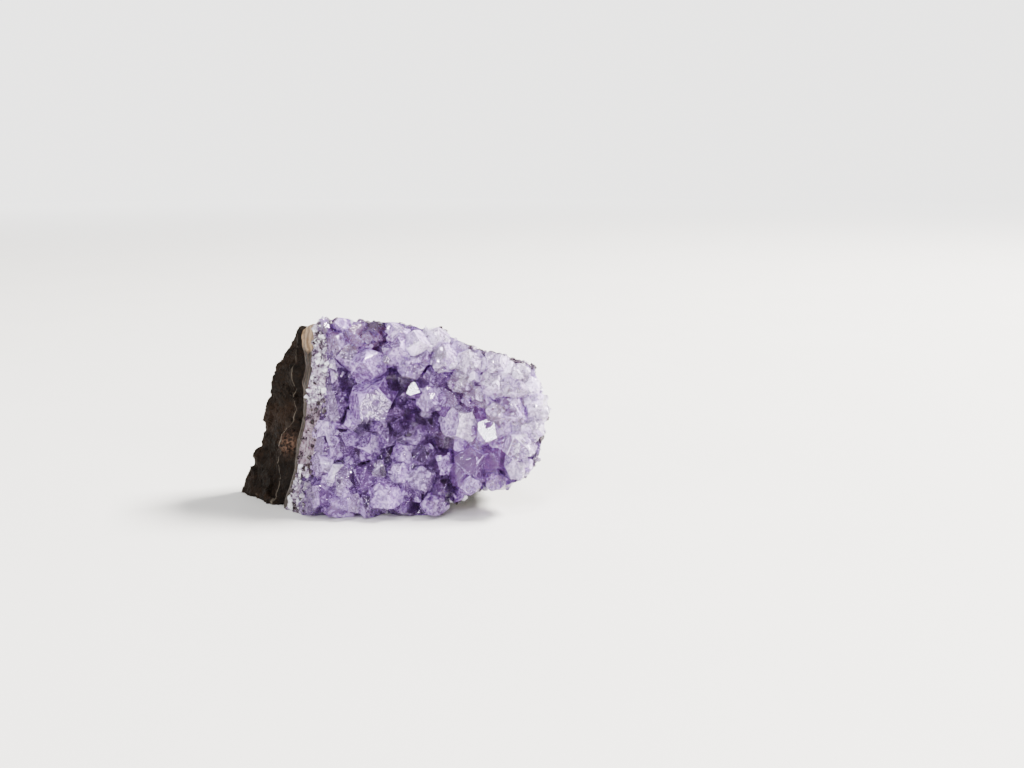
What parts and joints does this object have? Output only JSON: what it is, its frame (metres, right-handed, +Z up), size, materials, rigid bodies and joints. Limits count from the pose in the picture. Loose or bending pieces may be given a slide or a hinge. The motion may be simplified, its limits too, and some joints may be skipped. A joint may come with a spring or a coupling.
{
  "type": "amethyst cluster",
  "caption": "Broken piece of geode wall: purple quartz points over a thin chalcedony rind and dark basalt, lying on its flat foot.",
  "frame": {"origin": "middle of the foot: the centre of the bounding box, at its bottom", "axes": "+Z up, +X to the right along the crystal face, +Y away from the face into the rock, so the crystals point to -Y"},
  "size_m": [0.0684, 0.0359, 0.0413],
  "materials": {
    "amethyst": "glassy, clear to milky purple crystal",
    "chalcedony": "waxy",
    "basalt": "rough, broken"
  },
  "bodies": {
    "root": {"amethyst_crust": "amethyst", "chalcedony_rind": "chalcedony", "basalt_matrix": "basalt"}
  },
  "joints": []
}
